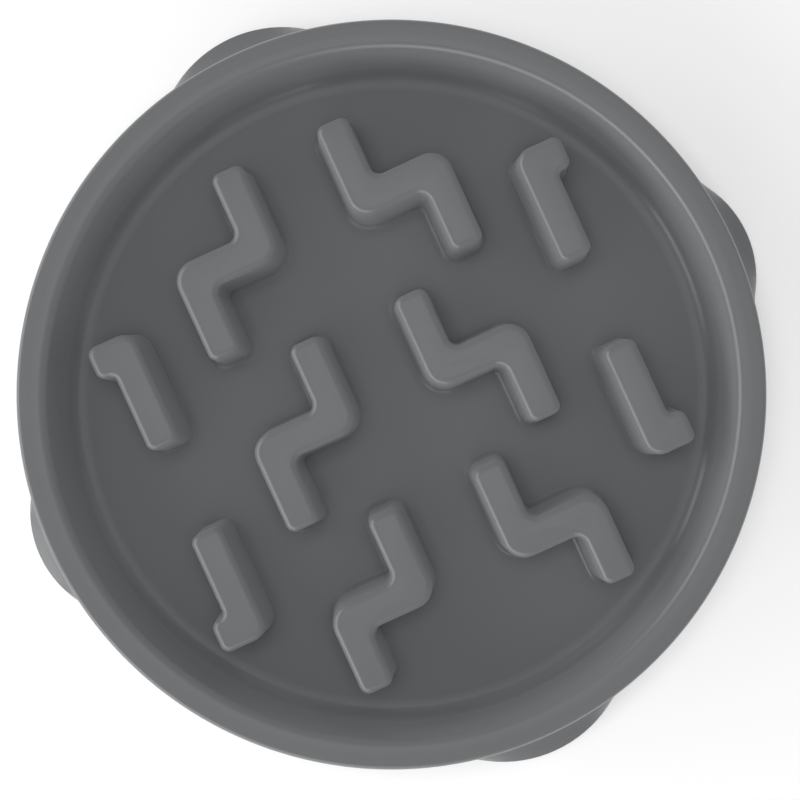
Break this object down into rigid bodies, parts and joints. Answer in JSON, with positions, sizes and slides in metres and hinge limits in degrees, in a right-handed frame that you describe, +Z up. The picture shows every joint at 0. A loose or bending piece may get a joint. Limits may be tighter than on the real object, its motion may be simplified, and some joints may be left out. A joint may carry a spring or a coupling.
{
  "type": "slow feeder bowl",
  "caption": "Low round pet bowl whose floor carries zig-zag ridges that slow eating, on a flared skirt with rubber grip pads.",
  "frame": {"origin": "on the table under the middle of the bowl", "axes": "+Z up; +Y along the ridges' arms towards the back row; +X along their bars. Two feet point along X and two along Y"},
  "size_m": [0.2142, 0.2158, 0.042],
  "materials": {
    "bowl_plastic": "satin grey polypropylene",
    "pad_rubber": "matt dark grey rubber"
  },
  "bodies": {
    "root": {"rim": "bowl_plastic", "basin_wall": "bowl_plastic", "basin_floor": "bowl_plastic", "skirt": "bowl_plastic", "ridge_back_left": "bowl_plastic", "ridge_back_right": "bowl_plastic", "ridge_middle_left": "bowl_plastic", "ridge_middle_right": "bowl_plastic", "ridge_front_left": "bowl_plastic", "ridge_front_right": "bowl_plastic", "side_ridge_back_left": "bowl_plastic", "side_ridge_back_right": "bowl_plastic", "side_ridge_front_left": "bowl_plastic", "side_ridge_front_right": "bowl_plastic", "foot_right": "bowl_plastic", "foot_back": "bowl_plastic", "foot_left": "bowl_plastic", "foot_front": "bowl_plastic", "grip_pad_right": "pad_rubber", "grip_pad_back": "pad_rubber", "grip_pad_left": "pad_rubber", "grip_pad_front": "pad_rubber"}
  },
  "joints": []
}
